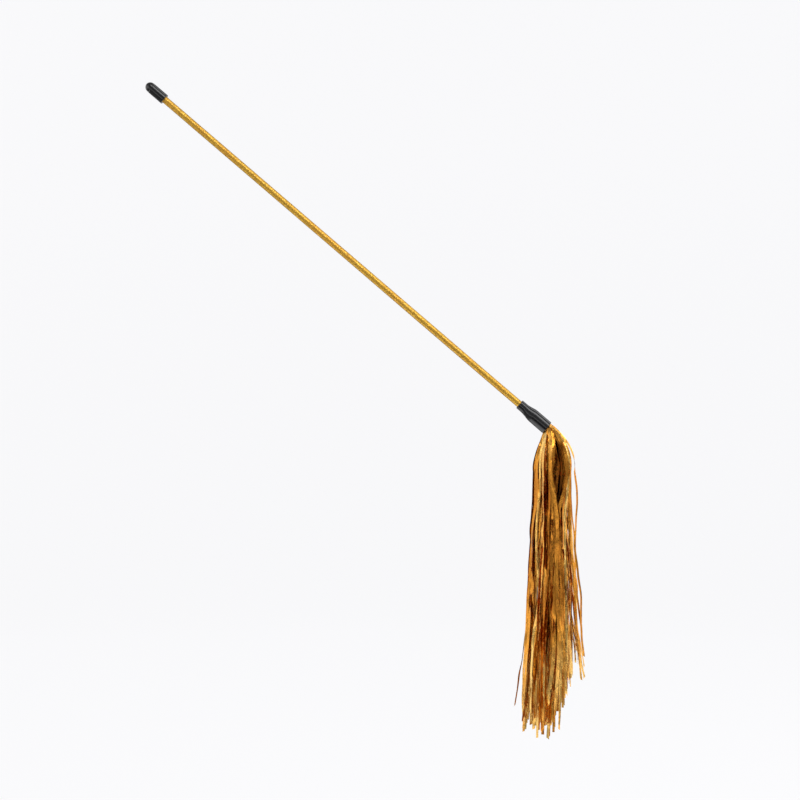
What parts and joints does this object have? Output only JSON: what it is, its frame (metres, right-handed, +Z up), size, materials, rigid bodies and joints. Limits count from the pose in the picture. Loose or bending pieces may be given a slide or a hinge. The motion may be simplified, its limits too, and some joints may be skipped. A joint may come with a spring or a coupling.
{
  "type": "cheer wand with foil tassel",
  "caption": "Thin glitter stick with a domed cap on its held end and a stepped sleeve on the other, from which a bundle of metallised foil strips hangs.",
  "frame": {"origin": "on the stick's axis, midway along the straight wall of the end cap, where a hand or a stand holds the wand", "axes": "+Z up; the stick slopes down towards +X at 40.65 degrees, from the capped end to the sleeve; the tassel hangs along -Z; +Y points away from the viewer"},
  "size_m": [0.329, 0.041, 0.4855],
  "materials": {
    "cap_vinyl": "gloss",
    "sleeve_vinyl": "satin",
    "core_plastic": "matte",
    "glitter_film": "gloss",
    "foil": "polished",
    "adhesive": "satin",
    "thread": "matte"
  },
  "bodies": {
    "wand": {"end_cap": "cap_vinyl", "stick_core": "core_plastic", "glitter_film": "glitter_film", "ferrule": "sleeve_vinyl", "adhesive_bead": "adhesive", "header_roll": "foil", "binding_thread": "thread", "tassel_root": "foil"},
    "neck": {"tassel_neck": "foil"},
    "fall": {"tassel_crown": "foil", "core_lock_1": "foil", "core_lock_2": "foil", "core_lock_3": "foil", "core_lock_4": "foil"},
    "right_fall": {"right_lock_1": "foil", "right_lock_2": "foil", "right_lock_3": "foil", "right_lock_4": "foil"},
    "left_fall": {"left_lock_1": "foil", "left_lock_2": "foil", "left_lock_3": "foil", "left_lock_4": "foil"},
    "back_fall": {"back_lock_1": "foil", "back_lock_2": "foil"},
    "front_fall": {"front_lock_1": "foil", "front_lock_2": "foil"}
  },
  "joints": [
    {"name": "tassel_swing", "type": "hinge", "parent": "wand", "child": "neck", "pos_m": [0.29918, 0, -0.25688], "axis": [0, 1, 0], "range_deg": [-95, 35]},
    {"name": "tassel_sway", "type": "hinge", "parent": "neck", "child": "fall", "pos_m": [0.29918, 0, -0.28088], "axis": [1, 0, 0], "range_deg": [-50, 50]},
    {"name": "right_flare", "type": "hinge", "parent": "fall", "child": "right_fall", "pos_m": [0.30698, 0, -0.30288], "axis": [0, -1, 0], "range_deg": [0, 60]},
    {"name": "left_flare", "type": "hinge", "parent": "fall", "child": "left_fall", "pos_m": [0.29138, 0, -0.30288], "axis": [0, 1, 0], "range_deg": [0, 60]},
    {"name": "back_flare", "type": "hinge", "parent": "fall", "child": "back_fall", "pos_m": [0.29918, 0.0078, -0.30288], "axis": [1, 0, 0], "range_deg": [0, 60]},
    {"name": "front_flare", "type": "hinge", "parent": "fall", "child": "front_fall", "pos_m": [0.29918, -0.0078, -0.30288], "axis": [-1, 0, 0], "range_deg": [0, 60]}
  ]
}
